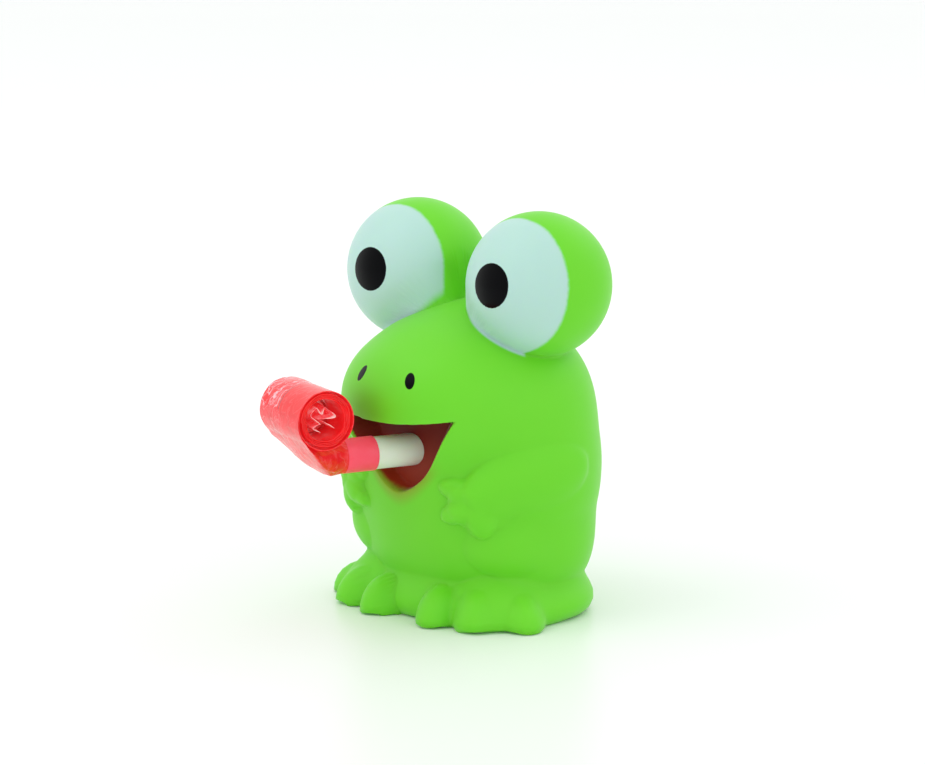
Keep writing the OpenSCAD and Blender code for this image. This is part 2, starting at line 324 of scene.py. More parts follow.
def grid_faces(rows, columns):
    """Quads between neighbouring rows, closed around the columns."""
    r, c = np.meshgrid(np.arange(rows - 1), np.arange(columns),
                       indexing="ij")
    a = r * columns + c
    b = r * columns + (c + 1) % columns
    return np.stack([a, b, b + columns, a + columns], axis=-1).reshape(-1, 4)


def make_piece(name, points, faces):
    """Object from points in mm and a list of arrays of faces, where every
    face of one array has the same number of corners."""
    mesh = bpy.data.meshes.new(name)
    groups = [np.asarray(f) for f in faces]
    corners = np.concatenate([g.ravel() for g in groups]).astype(np.int32)
    totals = np.concatenate([np.full(len(g), g.shape[1]) for g in groups])
    starts = np.concatenate([[0], np.cumsum(totals)[:-1]]).astype(np.int32)
    mesh.vertices.add(len(points))
    mesh.vertices.foreach_set("co", (np.asarray(points) * MM).ravel())
    mesh.loops.add(len(corners))
    mesh.loops.foreach_set("vertex_index", corners)
    mesh.polygons.add(len(totals))
    mesh.polygons.foreach_set("loop_start", starts)
    mesh.polygons.foreach_set("loop_total", totals.astype(np.int32))
    mesh.update(calc_edges=True)
    mesh.validate()
    mesh.polygons.foreach_set("use_smooth",
                              np.full(len(mesh.polygons), True))
    piece = bpy.data.objects.new(name, mesh)
    bpy.context.scene.collection.objects.link(piece)
    return piece


# %% Skin mesh


def skin_mesh():
    """The grid of the skin, with a fan to a point at each end."""
    rows, columns = skin_points.shape[:2]
    bottom = np.array([[0.0, SPINE_Y, 0.0]])
    up = np.array([[0.0, 0.0, 1.0]])
    spine_top = np.array([[0.0, SPINE_Y, SPINE_HIGH]])
    peak = spine_top + up * trunk_length(spine_top, up)[:, None]
    points = np.concatenate([skin_points.reshape(-1, 3), bottom, peak])
    n = rows * columns
    c = np.arange(columns)
    k = (c + 1) % columns
    last = n - columns
    low_cap = np.stack([np.full(columns, n), k, c], axis=-1)
    high_cap = np.stack([np.full(columns, n + 1), last + c, last + k], axis=-1)
    quads = grid_faces(rows, columns)
    return make_piece("vinyl_skin", points, [quads, low_cap, high_cap])


skin = skin_mesh()
print("skin faces", len(skin.data.polygons))

# %% [markdown]
# Materials could be wired node by node, but a long list of links hides the
# formula behind it. Here shader arithmetic reads like arithmetic. A Wire
# holds one output socket and knows the operators; numbers mix in freely.
# Every other node comes from one method that takes its type, its settings
# and its socket values.

# %% Shader values as expressions


class Wire:
    """One shader value. Sums and products of Wires make Math nodes."""

    def __init__(self, tree, socket):
        self.tree = tree
        self.socket = socket

    def node(self, kind, settings=None, values=None, out=0):
        """New node; settings are set first, then its sockets."""
        made = self.tree.nodes.new(kind)
        for key, value in (settings or {}).items():
            setattr(made, key, value)
        for key, value in (values or {}).items():
            if isinstance(value, Wire):
                self.tree.links.new(value.socket, made.inputs[key])
            else:
                made.inputs[key].default_value = value
        return Wire(self.tree, made.outputs[out])

    def math(self, operation, *others):
        values = {0: self, **{i + 1: v for i, v in enumerate(others)}}
        return self.node("ShaderNodeMath", {"operation": operation}, values)

    def __add__(self, other):
        return self.math("ADD", other)

    def __radd__(self, other):
        return self.math("ADD", other)

    def __sub__(self, other):
        return self.math("SUBTRACT", other)

    def __rsub__(self, other):
        return (-self).math("ADD", other)

    def __mul__(self, other):
        return self.math("MULTIPLY", other)

    def __rmul__(self, other):
        return self.math("MULTIPLY", other)

    def __truediv__(self, other):
        return self.math("DIVIDE", other)

    def __neg__(self):
        return self * -1.0

    def __pow__(self, other):
        return self.math("POWER", other)

    def low(self, other):
        """Smaller of two values."""
        return self.math("MINIMUM", other)

    def high(self, other):
        """Larger of two values."""
        return self.math("MAXIMUM", other)

    def step(self, low, high):
        """Smooth rise from 0 at low to 1 at high."""
        return self.node("ShaderNodeMapRange",
                         {"interpolation_type": "SMOOTHSTEP"},
                         {0: self, 1: low, 2: high})


def distance(*parts):
    """Root of the sum of the squares of Wires."""
    total = parts[0] * parts[0]
    for part in parts[1:]:
        total = total + part * part
    return total.math("SQRT")


def tone(red, green, blue):
    """Linear colour from display values between 0 and 255."""
    c = np.array([red, green, blue]) / 255.0
    lin = np.where(c <= 0.04045, c / 12.92, ((c + 0.055) / 1.055) ** 2.4)
    return (*lin.tolist(), 1.0)


# %% A material as an object


class Look:
    """A material with a Principled surface, built by expressions. Its
    colour is kept at hand, so that it can be built up in steps."""

    def __init__(self, name, **constants):
        self.material = bpy.data.materials.new(name)
        self.material.use_nodes = True
        self.tree = self.material.node_tree
        self.surface = self.tree.nodes["Principled BSDF"]
        self.colour = None
        for key, value in constants.items():
            self.surface.inputs[key.replace("_", " ")].default_value = value
        coords = self.tree.nodes.new("ShaderNodeTexCoord")
        self.place = Wire(self.tree, coords.outputs["Object"])

    def axes(self, origin=(0.0, 0.0, 0.0)):
        """Object coordinates in mm from an origin, as three Wires."""
        split = self.place.node("ShaderNodeSeparateXYZ", None,
                                {0: self.place})
        return [Wire(self.tree, out) * (1 / MM) - float(zero)
                for out, zero in zip(split.socket.node.outputs, origin)]

    def noise(self, size_mm, detail=2.0, rough=0.5, where=None):
        """Soft noise whose patches are about size_mm across."""
        return self.place.node(
            "ShaderNodeTexNoise", None,
            {"Vector": where or self.place, "Scale": 1.0 / (size_mm * MM),
             "Detail": detail, "Roughness": rough})

    def mix(self, share, first, second):
        """Colour that goes from first to second as share goes 0 to 1."""
        return self.place.node("ShaderNodeMix", {"data_type": "RGBA"},
                               {0: share, 6: first, 7: second}, out=2)

    def set(self, name, wire):
        """Links a Wire to a socket of the surface."""
        self.tree.links.new(wire.socket, self.surface.inputs[name])

    def bump(self, height, distance_mm, strength=1.0):
        """Relief too fine for the mesh."""
        self.set("Normal", height.node(
            "ShaderNodeBump", None,
            {"Height": height, "Distance": distance_mm * MM,
             "Strength": strength}))

    def put_on(self, piece):
        """Makes this the only material of a piece."""
        piece.data.materials.clear()
        piece.data.materials.append(self.material)


# %% [markdown]
# The vinyl is satin and a little see-through: light goes a few mm into it
# and comes out greener. A plain glossy green would look like hard plastic,
# so part of the surface is subsurface, and a faint sheen stands for the
# dusty bloom of soft vinyl. Two near greens in wide patches keep the large
# plain areas alive.

# %% Green vinyl
vinyl = Look("vinyl_green", Roughness=0.5, Specular_IOR_Level=0.3,
             Sheen_Weight=0.16, Sheen_Roughness=0.4,
             Subsurface_Weight=0.34, Subsurface_Scale=0.005,
             Coat_Roughness=0.3)
vinyl.surface.inputs["Subsurface Radius"].default_value = (0.6, 1.0, 0.3)


def vinyl_colour(look):
    """Two greens, and the roll's painted shadow: a darker round spot on the
    snout.
    """
    green = look.mix(look.noise(22.0), tone(104, 207, 30), tone(113, 213, 40))
    # Painted shadow of the roll: a darker round spot on the snout above it.
    dx, dy, dz = look.axes((-3.5, -33.0, 50.5 * tall))
    roll_shadow = distance(dx, dy, dz * math.sqrt(1.6)).step(8.5, 1.0)
    return look.mix(roll_shadow * 0.4, green, tone(84, 160, 10))


# %% [markdown]
# The paint of the real toy is sprayed through masks: white on the front of
# each eye ball, a black pupil, black nostrils and a dark red mouth. Each
# could be a thin shell over the skin, but shells that thin flicker. In the
# shader each mask is a distance in mm from the edge of a simple form, with
# a short soft step, so the edges look sprayed and not cut.

# %% Paint of the eyes
WHITE_RISE, WHITE_SPREAD = 4.5, 65     # aim above level and half angle
PUPIL_RISE, PUPIL_SPREAD = 5.4, 17.8


def cap_edge(look, centre, rise, spread):
    """Distance inside a round cap on an eye ball, along its surface: the
    half angle of the cap less the angle from its aim, times the radius."""
    _, dy, dz = look.axes(centre)
    rise = math.radians(rise)
    along = dz * math.sin(rise) - dy * math.cos(rise)
    cosine = (along / eye_radius).low(0.9999).high(-0.9999)
    return (math.radians(spread) - cosine.math("ARCCOSINE")) * eye_radius


def near_ball(look, centre):
    """1 on an eye ball, and 0 from 1.2 mm outside its surface on."""
    far = distance(*look.axes(centre))
    return far.step(eye_radius + 1.2, eye_radius + 0.4)


def eye_paint(look, wobble, fine):
    """Shares of white and of black on both eye balls."""
    white, black = 0.0, 0.0
    for side in (1.0, -1.0):
        centre = eye_centre * np.array([side, 1, 1])
        ball = near_ball(look, centre)
        cap = cap_edge(look, centre, WHITE_RISE, WHITE_SPREAD)
        dot = cap_edge(look, centre, PUPIL_RISE, PUPIL_SPREAD)
        cap = (cap + wobble * 0.8 + fine * 0.4).step(-0.5, 0.6)
        dot = (dot + fine * 0.1).step(-0.08, 0.12)
        white = cap * ball + white
        black = dot * ball + black
    return white, black


# %% Paint of nostrils and mouth
NOSTRIL_OUT, NOSTRIL_UP = 7.6, 57.6 * tall
NOSTRIL_HALF = (1.1, 1.85)   # half sizes across and along
NOSTRIL_LEAN = (0.9, 0.43)   # cosine and sine of the lean outwards


def nostril_paint(look):
    """Share of black in two leaning ellipses on the front of the snout."""
    x, y, z = look.axes()
    rise = z - NOSTRIL_UP
    cosine, sine = NOSTRIL_LEAN
    black = 0.0
    for side in (1.0, -1.0):
        out = x * side - NOSTRIL_OUT
        across = (out * cosine + rise * sine) / NOSTRIL_HALF[0]
        along = (rise * cosine - out * sine) / NOSTRIL_HALF[1]
        hole = distance(across, along).step(1.06, 0.94)
        black = hole * (-y).step(20.0, 21.0) + black
    return black


def mouth_colour(look, colour, fine):
    """Red inside the mouth's outline, darker towards the top as painted shade
    under the upper lip, and a thin smear of it on the lower lip, where the
    spray went past the mask."""
    x, y, z = look.axes()
    u = x.math("ABSOLUTE") / mouth_half
    depth = mouth_drop + MOUTH_SMILE
    upper = u * u * MOUTH_SMILE + mouth_top - z
    lower = z - (u ** MOUTH_POWER * depth + (mouth_top - mouth_drop))
    inside = upper.low(lower * 0.6)
    smear = (inside.step(-2.6, 0.6) * (-z).step(-40.0, -33.0)
             * (-y).step(14.0, 18.0) * 0.55)
    paint = (inside.low(-y - 14.0) + fine * 0.15).step(-0.05, 0.35)
    # The darker red at the top is painted shade under the upper lip.
    red = look.mix(z.step(31.0, 46.0), tone(152, 38, 0), tone(108, 14, 0))
    return look.mix(paint, look.mix(smear, colour, tone(150, 90, 24)), red)


# %% [markdown]
# The black paint is set metallic over a dark colour. A metal reflects only
# its own colour, so black stays black, while a gloss layer would turn it
# grey under a large soft light.

# %% Painted vinyl on the skin


def paint_vinyl(look):
    """Green first, then white, mouth and black over it, as at the bench."""
    wobble = look.noise(6.0) - 0.5
    fine = look.noise(0.9, 3.0) - 0.5
    white, pupils = eye_paint(look, wobble, fine)
    black = (pupils + nostril_paint(look)).low(1.0)
    colour = look.mix(white, vinyl_colour(look), tone(180, 216, 208))
    colour = mouth_colour(look, colour, fine)
    look.set("Base Color", look.mix(black, colour, tone(15, 15, 17)))
    look.set("Metallic", black)
    look.set("Roughness", 0.52 - black * 0.3 - white * 0.06 + wobble * 0.04)
    look.bump(look.noise(1.6, 3.0) + wobble * 2.0, 0.03, 0.35)


paint_vinyl(vinyl)
vinyl.put_on(skin)
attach(skin, "frog")
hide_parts("trunk_shell", "snout_shell", "chin_shell",
            "eye_ball_left", "eye_ball_right",
            "eye_white_left", "eye_white_right",
            "pupil_left", "pupil_right", "nostril_left", "nostril_right",
            "mouth_paint")
print("vinyl nodes", len(vinyl.tree.nodes))

# %% [markdown]
# The blower is a short white tube of extruded plastic with a thin film
# tube pulled over its end. Past the tube the film flattens, widens and is
# rolled up. It stands at an angle to the frog, so points of all film pieces
# are given in the blower's own frame, which keeps their formulas simple:
# x out of the mouth, y to the frog's left, z up.

# %% Blower frame and sizes
wrap_low, wrap_high = box_mm("film_wrap")
neck_low, neck_high = box_mm("film_neck")
roll_x = float((roll_point - mouth_point) @ forward)
roll_z = float(roll_point[2] - mouth_point[2])
roll_radius = (wrap_high[2] - wrap_low[2]) / 2
neck_radius = (neck_high[2] - neck_low[2]) / 2
film_width = (wrap_high[0] - wrap_low[0]
              - 2 * roll_radius * abs(forward[0])) / abs(sideways[0])
rim_y = neck_radius * abs(forward[0])
neck_start = round((neck_high[1] - rim_y - mouth_point[1]) / forward[1], 1)
neck_end = round((neck_low[1] + rim_y - mouth_point[1]) / forward[1], 1)
print("roll", round(roll_x, 2), round(roll_z, 2), round(roll_radius, 2),
      "film width", round(film_width, 2), "neck", neck_start, neck_end)


def from_blower(x, y, z):
    """Points in mm from coordinates in the blower's frame."""
    return (mouth_point + np.asarray(x)[..., None] * forward
            + np.asarray(y)[..., None] * sideways
            + np.asarray(z)[..., None] * upward)


def about_roll(radius, angle, y):
    """Points at a radius and an angle about the axis of the roll."""
    return from_blower(roll_x + radius * np.cos(angle), y,
                       roll_z + radius * np.sin(angle))


# %% Crumple and closed sheets


def crumple(u, v, seed, octaves=4):
    """Creased noise: folded sine waves of random direction, doubling in
    pitch and halving in height. It has ridges, as crushed film does."""
    rng = np.random.default_rng(seed)
    total = np.zeros(np.broadcast(u, v).shape)
    for k in range(octaves):
        for _ in range(3):
            angle, phase = rng.uniform(0, np.pi), rng.uniform(0, 2 * np.pi)
            wave = (u * np.cos(angle) + v * np.sin(angle)) * 2 ** k + phase
            total += (1 - 2 * np.abs(np.sin(wave / 2))) / 2 ** k / 3
    return total


def face_out(piece):
    """Turns the faces outward, judged by the sign of the volume."""
    mesh = piece.data
    co = np.empty(len(mesh.vertices) * 3)
    mesh.vertices.foreach_get("co", co)
    co = co.reshape(-1, 3) - co.reshape(-1, 3).mean(axis=0)
    mesh.calc_loop_triangles()
    tri = np.empty(len(mesh.loop_triangles) * 3, dtype=np.int64)
    mesh.loop_triangles.foreach_get("vertices", tri)
    a, b, c = (co[tri.reshape(-1, 3)[:, k]] for k in range(3))
    if (a * np.cross(b, c)).sum() < 0:
        mesh.flip_normals()
    return piece


def loop_piece(name, points):
    """Closed ring of closed profiles: a grid that joins both ways."""
    rows, columns = points.shape[:2]
    r, c = np.meshgrid(np.arange(rows), np.arange(columns), indexing="ij")
    nr, nc = (r + 1) % rows, (c + 1) % columns
    faces = np.stack([r * columns + c, r * columns + nc,
                      nr * columns + nc, nr * columns + c], -1)
    piece = make_piece(name, points.reshape(-1, 3), [faces.reshape(-1, 4)])
    return face_out(piece)


# %% [markdown]
# The neck is the film where it is stretched over the tube. It hugs the
# tube, with a clean cut edge and a few fine pleats at its far end. A plain
# cylinder would do for its size, but the pleats are what shows that film
# was gathered there.

# %% Neck of the film
PLEATS, PLEAT_HEIGHT, SLEEVE_WALL = 9, 0.05, 0.22


def neck_piece():
    """Tube whose radius grows by slanting pleats over its far half."""
    s_g, a_g = np.meshgrid(np.linspace(0, 1, 40),
                           np.linspace(0, 2 * np.pi, 96, endpoint=False),
                           indexing="ij")
    pleat = (PLEAT_HEIGHT * smooth_step(s_g, 0.55, 1.0)
             * np.sin(PLEATS * a_g + 2 * s_g))
    outer = neck_radius + pleat
    inner = np.full_like(outer, neck_radius - SLEEVE_WALL)
    x = neck_start + (neck_end - neck_start) * s_g
    skin_out = from_blower(x, outer * np.cos(a_g), outer * np.sin(a_g))
    skin_in = from_blower(x, inner * np.cos(a_g), inner * np.sin(a_g))
    points = np.concatenate([skin_out, skin_in[::-1]])
    return loop_piece("film_sleeve", points)


neck = neck_piece()
print("neck faces", len(neck.data.polygons))

# %% [markdown]
# The lead is the film between tube and roll. Its underside runs on
# straight from the tube to a corner and then folds up towards the front of
# the roll, while it widens from the tube's width to the full flat width. A
# cloth simulation could find such a shape, but not the same one twice in
# the same place, so the path is worked out: a straight run, a tangent to
# the roll, and an arc around it.

# %% Path of the lead
LEAD_GAP = 0.3                    # film of the lead to film of the roll
ARC_TURN = math.radians(58)       # how far the lead goes around the roll
SAG = 1.3                         # slack in the slanting run
lead_radius = roll_radius + LEAD_GAP
corner = np.array([neck_end + 3.7, -neck_radius - 0.1])
to_roll = np.array([roll_x, roll_z]) - corner
lead_angle = (math.atan2(to_roll[1], to_roll[0])
              - math.asin(lead_radius / np.hypot(*to_roll)) - math.pi / 2)
tip = np.array([roll_x + lead_radius * math.cos(lead_angle),
                roll_z + lead_radius * math.sin(lead_angle)])
print("corner", corner.round(2), "tip", tip.round(2))


def lead_path(u):
    """x and z of the underside at a share u of the way, and the shares
    done of the straight run, the slanting run and the arc."""
    run, slant = corner[0] - neck_end, np.hypot(*(tip - corner))
    arc = lead_radius * ARC_TURN
    way = u * (run + slant + arc)
    first = np.clip(way / run, 0, 1)
    second = np.clip((way - run) / slant, 0, 1)
    third = np.clip((way - run - slant) / arc, 0, 1)
    turn = lead_angle + third * ARC_TURN
    off = lead_radius - 0.42 * third ** 2
    sag = SAG * np.sin(np.pi * second ** 0.8) * 0.7
    x = np.where(third > 0, roll_x + off * np.cos(turn),
                 neck_end + first * run + second * (tip[0] - corner[0]))
    z = np.where(third > 0, roll_z + off * np.sin(turn),
                 -neck_radius + first * (corner[1] + neck_radius)
                 + second * (tip[1] - corner[1]) - sag)
    return x + sag, z, first, second, third


# %% Lead of the film
THIN = 0.08   # half the thickness where the two layers lie together


def lead_layers(x_low, z_low, second, third):
    """Half thickness and middle height of the lead. Its upper layer goes
    from the top of the tube down to the underside of the roll."""
    ahead = roll_x - 2.0
    x_roll = np.clip(x_low, ahead, tip[0])
    under_roll = roll_z - np.sqrt(np.maximum(
        (roll_radius + 0.12) ** 2 - (x_roll - roll_x) ** 2, 1.0))
    before = np.clip((x_low - neck_end) / (ahead - neck_end), 0, 1)
    z_high = neck_radius + (under_roll - neck_radius) * before
    z_high = np.where(third > 0, z_low, np.maximum(z_high, z_low))
    pinch = smooth_step(second, 0.0, 1.0)
    half = np.maximum((z_high - z_low) / 2, 0.0) * (1 - pinch ** 6) + THIN
    return half, z_low + half - THIN * third


def lead_piece():
    """Rings along the path: a round section that widens and flattens, with
    crumple on its underside and gathers where it leaves the tube."""
    u_g, a_g = np.meshgrid(np.linspace(0, 1, 110),
                           np.linspace(0, 2 * np.pi, 120, endpoint=False),
                           indexing="ij")
    x_low, z_low, first, second, third = lead_path(u_g)
    half, middle = lead_layers(x_low, z_low, second, third)
    grow = np.clip((first + 2.6 * second) / 3.6, 0, 1)
    half_width = (neck_radius + (film_width / 2 - 0.1 - neck_radius)
                  * smooth_step(grow, 0.0, 1.0) ** 0.9)
    flat = smooth_step(grow, 0.0, 0.6)
    lift = np.sign(np.sin(a_g)) * np.abs(np.sin(a_g)) ** (1 - 0.35 * flat)
    y = half_width * np.cos(a_g)
    fold = crumple(u_g * 10, y * 0.5, 4) * 0.26 * np.sin(np.pi * u_g) ** 0.7
    gather = 0.2 * np.sin(10 * a_g + 3 * u_g) * np.exp(
        -((first - 0.8 + second * 4) / 0.5) ** 2)
    z = middle + half * lift - (fold + gather) * (lift < 0.2)
    x = x_low + (fold + gather) * 0.5 * (third < 0.5)
    shrink = 1 - 0.2 / np.maximum(half_width, 1)
    wall = np.sign(lift) * np.minimum(0.1, half * 0.4)
    outer = from_blower(x, y, z)
    inner = from_blower(x, y * shrink, z - wall)
    return loop_piece("film_panel", np.concatenate([outer, inner[::-1]]))


lead = lead_piece()
print("lead faces", len(lead.data.polygons))

# %% [markdown]
# The outer turn of the roll shows the welded seam of the film tube as a
# fine step that runs around it. Outside the seam the film is crushed into
# flat creases; inside it lies smooth. The rim is a little wavy. The creases
# are in the mesh, not only in the material, because they break the outline
# of the roll.

# %% Outer turn of the roll
SEAM_AT = -0.08      # place of the seam, as a share of the half width
SEAM_STEP = 0.12
CREASE_DEPTH = 0.26
seam_y = SEAM_AT * film_width / 2


def wrap_piece():
    """Ring whose radius steps at the seam and sinks in folded waves on the
    crushed side."""
    a_g, p_g = np.meshgrid(np.linspace(0, 2 * np.pi, 220, endpoint=False),
                           np.linspace(0, 1, 84), indexing="ij")
    v = p_g * 2 - 1
    crushed = smooth_step(-v, -SEAM_AT - 0.02, 0.35 - SEAM_AT)
    crease = crumple(a_g * 3.0, v * 3.4, 11, 4)
    step = SEAM_STEP * smooth_step(v, SEAM_AT - 0.006, SEAM_AT + 0.006)
    radius = (roll_radius - 0.16 + step
              - CREASE_DEPTH * crushed * (0.45 + crease)
              + 0.05 * (1 - crushed) * crumple(a_g * 2, v * 2, 12, 2))
    edge = 0.18 * crumple(a_g * 2.0, a_g * 0 + v, 13, 2)
    y = v * (film_width / 2 - 0.15) + edge * np.abs(v) ** 6
    outer = about_roll(radius, a_g, y)
    inside = np.maximum(radius - 0.2, roll_radius - 0.56)
    inner = about_roll(inside, a_g, y)
    points = np.concatenate([outer, inner[:, ::-1]], axis=1)
    return loop_piece("film_outer_turn", points)


wrap = wrap_piece()
print("outer turn faces", len(wrap.data.polygons))

# %% [markdown]
# Inside the outer turn the film winds on for four turns. At the end of the
# roll the layers show edge on, as a dark red ring of fine lines, because
# light has to pass through many layers of film there. A ring with lines
# painted on it would look flat from the side, so the turns are a real
# spiral of one thin sheet.

# %% Inner turns of the roll
TURNS = 4.0
SHEET_HALF = 0.115   # half the thickness of the sheet
bore_radius = roll_radius * 0.68


def coil_piece():
    """Spiral: the radius falls steadily with the angle, and the edges of
    the sheet waver a little and draw in towards the middle."""
    outer_radius = roll_radius - 0.66
    g = np.linspace(0, TURNS * 2 * np.pi, int(TURNS * 96))
    share = g / g[-1]
    middle = outer_radius - 0.13 - (outer_radius - bore_radius - 0.26) * share
    v = np.concatenate([np.linspace(-1, 1, 24), np.linspace(1, -1, 24)])
    side = np.repeat([1.0, -1.0], 24)
    g_g, v_g = np.meshgrid(g, v, indexing="ij")
    radius = middle[:, None] + side * SHEET_HALF
    reach = (film_width / 2 - 0.25 - 0.5 * share[:, None]
             + 0.22 * np.sin(3.1 * g_g) + 0.12 * np.sin(7.3 * g_g + 1))
    points = about_roll(radius, g_g, v_g * reach)
    rows, columns = points.shape[:2]
    first_cap = np.arange(columns)[None, :]
    last_cap = first_cap[:, ::-1] + (rows - 1) * columns
    return face_out(make_piece(
        "film_inner_turns", points.reshape(-1, 3),
        [grid_faces(rows, columns), first_cap, last_cap]))


coil = coil_piece()
print("inner turns faces", len(coil.data.polygons))

# %% [markdown]
# The closed end of the film is pushed into the middle of the roll. It is
# built as one thin sheet, folded back and forth across the bore into flaps
# with sharp edges. Its near and far edges are ragged and catch the light.
# Crushing a sheet with a simulation would take minutes and settle
# elsewhere each time, while a broken line of ten corners gives the folds.

# %% Crumpled end
FLAPS = [(-0.72, -0.62), (0.28, 0.02), (-0.78, 0.22), (-0.30, 0.86),
         (0.20, 0.42), (0.42, 0.86), (0.80, 0.30), (0.05, -0.30),
         (0.74, -0.50), (0.10, -0.86)]  # corners, as shares of the bore
BLUNT = 0.012    # share of the line over which a corner is rounded


def fold_line(share):
    """Point at a share of the way along the flaps, and a unit step to the
    side of it. Both are means over a short stretch, which blunts corners."""
    corners = np.asarray(FLAPS, float)
    steps = np.hypot(*np.diff(corners, axis=0).T)
    stops = np.concatenate([[0], np.cumsum(steps)]) / steps.sum()
    at, ahead, back = (
        np.stack([np.interp(share + shift, stops, corners[:, k])
                  for k in (0, 1)], -1) for shift in (0.0, BLUNT, -BLUNT))
    way = ahead - back
    way /= np.maximum(np.linalg.norm(way, axis=-1, keepdims=True), 1e-6)
    return (at + ahead + back) / 3, way[..., ::-1] * (1, -1)


def end_piece():
    """The fold line drawn out along the roll's axis, with small crumple
    across it and a ragged sine at both edges."""
    reach = bore_radius - 1.2
    share = np.concatenate([np.linspace(0, 1, 150), np.linspace(1, 0, 150)])
    side = np.repeat([1.0, -1.0], 150)
    v_g, share_g = np.meshgrid(np.linspace(-1, 1, 70), share, indexing="ij")
    at, across = fold_line(share_g)
    small = crumple(share_g * 16, v_g * 4, 21, 3)
    thick = 0.09 * np.sqrt(np.clip(1 - v_g ** 20, 0.05, 1))
    place = (at * reach * (0.98 - 0.1 * small[..., None])
             + across * (0.22 * small * 0.8 + side * thick)[..., None])
    ragged = (0.9 * np.sin(9.0 * share_g * np.pi) + 0.5
              * np.sin(23.0 * share_g + 1)) * np.abs(v_g) ** 3 * np.sign(v_g)
    y = v_g * (film_width / 2 - 1.9) + ragged * 0.9
    points = from_blower(roll_x + place[..., 0], y, roll_z + place[..., 1])
    rows, columns = points.shape[:2]
    k = np.arange(columns // 2 - 1)
    low_cap = np.stack([k, columns - 1 - k, columns - 2 - k, k + 1], -1)
    high_cap = low_cap[:, ::-1] + (rows - 1) * columns
    return face_out(make_piece(
        "film_crumpled_end", points.reshape(-1, 3),
        [grid_faces(rows, columns), low_cap, high_cap]))


crumpled = end_piece()
print("crumpled end faces", len(crumpled.data.polygons))

# %% [markdown]
# Red film is thin, glossy and lets light through. Each layer is pale, and
# many layers are deep red. Real transparency would need many bounces of
# light and bakes badly, so the pieces differ in depth of colour instead,
# with a little subsurface and a faint glow: neck and outer turn pinkish,
# the edges of the turns deep.

# %% Film looks


def film_look(name, first, second, glow, rough=0.22, grain=1.4):
    """Glossy film in clouds of two reds, with fine relief and a faint glow
    that is painted light, standing in for light through the film.
    """
    look = Look(name, Roughness=rough, Subsurface_Weight=0.3,
                Subsurface_Scale=0.002, Coat_Weight=0.2, Coat_Roughness=0.1,
                Specular_IOR_Level=0.3, Emission_Strength=0.14)
    look.surface.inputs["Subsurface Radius"].default_value = (1.0, 0.25, 0.25)
    look.surface.inputs["Emission Color"].default_value = glow
    look.colour = look.mix(look.noise(4.0, 3.0).step(0.3, 0.7), first, second)
    look.set("Roughness", look.noise(2.2) * 0.2 + (rough - 0.1))
    look.bump(look.noise(grain, 4.0, 0.6), 0.12, 0.5)
    return look


# Colours of the glow: painted light that stands for light shining through the
# film.
RED_GLOW = (1.0, 0.04, 0.05, 1)
PINK_GLOW = (1.0, 0.1, 0.16, 1)
red_neck = film_look("film_red_neck", tone(250, 66, 90), tone(252, 78, 100),
                     PINK_GLOW, 0.36)
red_panel = film_look("film_red_panel", tone(226, 14, 20),
                      tone(246, 40, 50), RED_GLOW)
red_turn = film_look("film_red_turn", tone(226, 10, 16), tone(240, 30, 36),
                     RED_GLOW)
red_edge = film_look("film_red_edges", tone(222, 3, 4), tone(242, 16, 16),
                     RED_GLOW)
pale_end = film_look("film_pale", tone(246, 84, 94), tone(252, 150, 158),
                     RED_GLOW, 0.2, 0.9)
print("film looks", 5)

# %% [markdown]
# Creased film catches the light in thin lines. Here these are painted
# highlights: pale lines laid into the colour. The lines lie where a
# stretched noise passes through its middle value, which gives long
# branching curves. A crack texture would close them into cells.

# %% Painted highlights on creases, painted shade at the seam


def in_blower(look):
    """The blower's own coordinates in mm as three Wires."""
    dx, dy, dz = look.axes(mouth_point)
    return (dx * float(forward[0]) + dy * float(forward[1]),
            dx * float(sideways[0]) + dy * float(sideways[1]), dz)


def painted_crease_highlights(look, share, pale, amount):
    """Lays painted highlights over the look's colour: pale lines along the
    creases and a faint pale haze.
    """
    along, over, up = in_blower(look)
    slant = look.place.node("ShaderNodeCombineXYZ", None, {
        0: (along * 0.5 + over * 0.9) * MM,
        1: (over * 0.35 - along * 0.2) * MM, 2: up * 0.8 * MM})
    coarse = look.noise(3.4, 2.0, 0.6, slant)
    fine = look.noise(1.5, 2.0, 0.6, slant)
    line = ((coarse - 0.5).math("ABSOLUTE").step(0.035, 0.0)
            + (fine - 0.52).math("ABSOLUTE").step(0.025, 0.0) * 0.6)
    haze = coarse.step(0.5, 0.75) * 0.3
    look.colour = look.mix(((line + haze) * share * amount).low(1.0),
                           look.colour, pale)


_, over_roll, _ = in_blower(red_turn)
crushed_side = over_roll.step(seam_y + 0.3, seam_y - 1.5)
# Painted highlights on the creases of the crushed side of the outer turn.
painted_crease_highlights(red_turn, crushed_side * 0.92 + 0.08, tone(255, 190, 200), 1.0)
# Dark line along the seam: painted shade at the seam's step.
seam_shade = (over_roll - seam_y).math("ABSOLUTE").step(0.4, 0.18) * 0.95
red_turn.colour = red_turn.mix(seam_shade, red_turn.colour, tone(130, 0, 24))

_, over_lead, _ = in_blower(red_panel)
# Painted highlights on the creases of the lead.
painted_crease_highlights(red_panel, over_lead.step(6.0, -4.0) * 0.6 + 0.2,
             tone(255, 170, 180), 0.5)

_, over_end, _ = in_blower(pale_end)
# Painted highlights on the folds of the crumpled end.
painted_crease_highlights(pale_end, over_end.step(2.0, 7.5), tone(255, 238, 240), 1.1)
# Near-white along the ragged edges: painted highlight where they catch the
# light.
edge_highlight = (over_end + pale_end.noise(1.6) * 3.0).step(9.9, 10.8)
pale_end.colour = pale_end.mix(edge_highlight, pale_end.colour,
                               tone(255, 244, 240))
for look in (red_neck, red_panel, red_turn, red_edge, pale_end):
    look.set("Base Color", look.colour)
    print(look.material.name, "nodes", len(look.tree.nodes))

